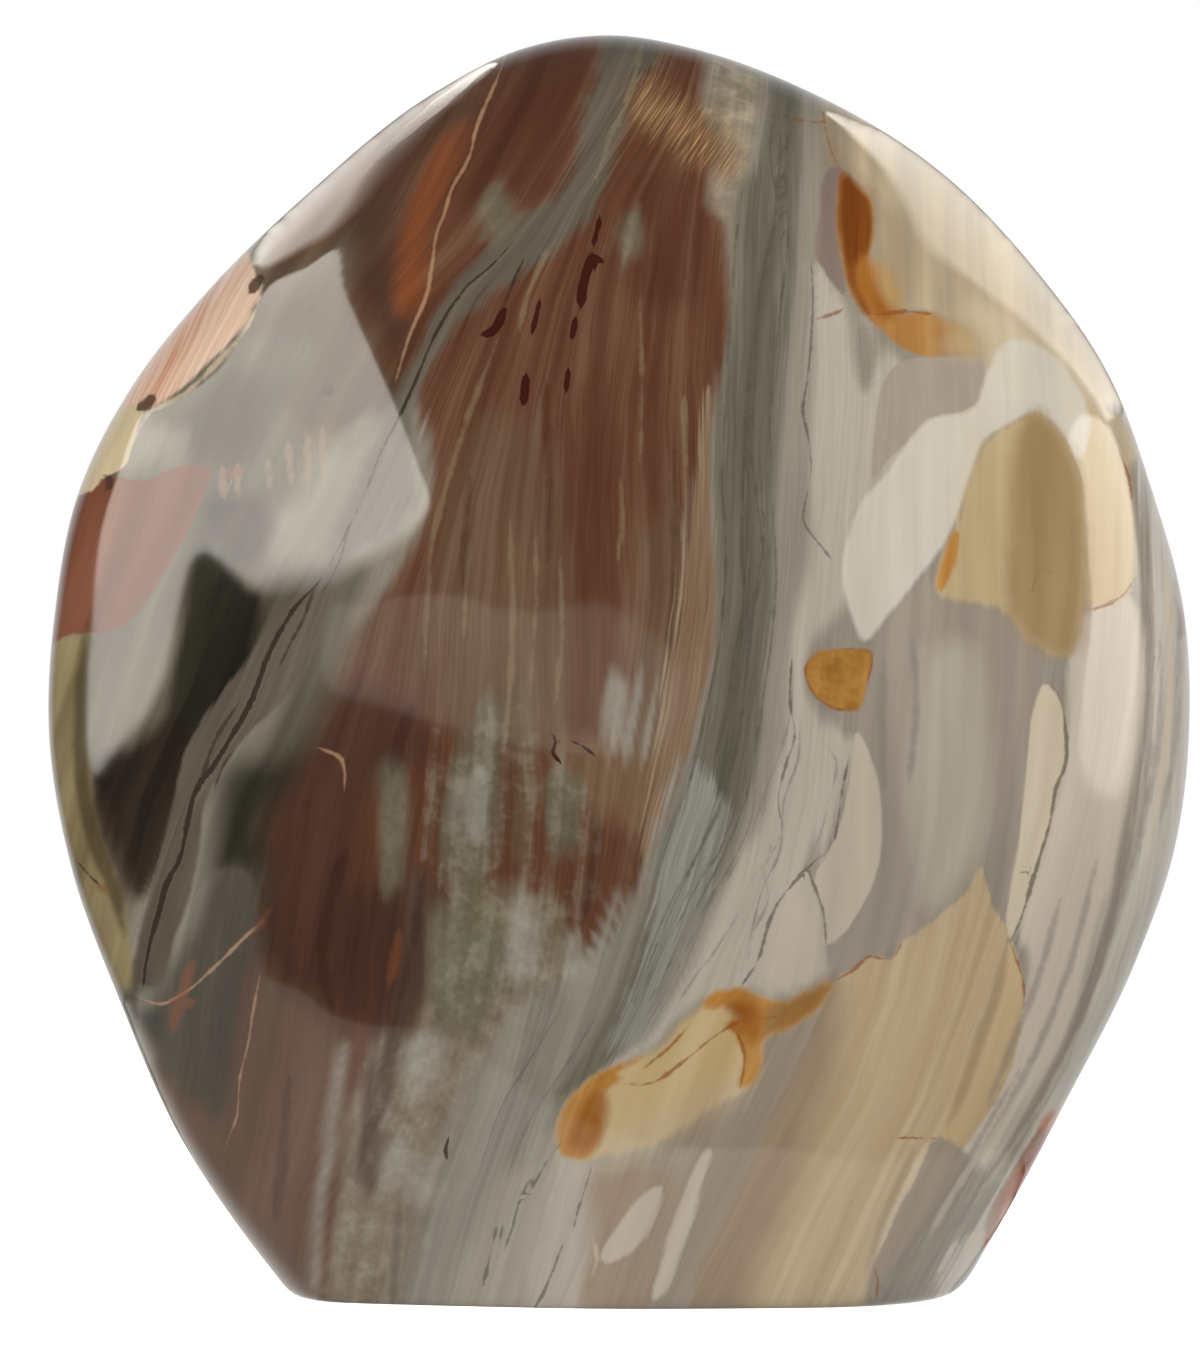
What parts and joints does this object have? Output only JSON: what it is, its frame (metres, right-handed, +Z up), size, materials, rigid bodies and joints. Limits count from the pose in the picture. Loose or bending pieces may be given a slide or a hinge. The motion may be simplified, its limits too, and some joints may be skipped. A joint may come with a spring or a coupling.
{
  "type": "polished polychrome jasper freeform",
  "caption": "Free-standing polished stone slab-like pebble with a domed face, ground flats, rounded rim and a flat sawn foot that it stands on.",
  "frame": {"origin": "middle of the stone's box on the plane of its flat foot", "axes": "+Z up from the foot, +X to the right of someone facing the stone, -Y out of its face"},
  "size_m": [0.1356, 0.0576, 0.1498],
  "materials": {
    "polished_jasper": "ground and tumbled to a glassy polish; opaque banded jasper in red-brown, grey-green, beige, tan and ochre"
  },
  "bodies": {
    "root": {"jasper_freeform": "polished_jasper"}
  },
  "joints": []
}
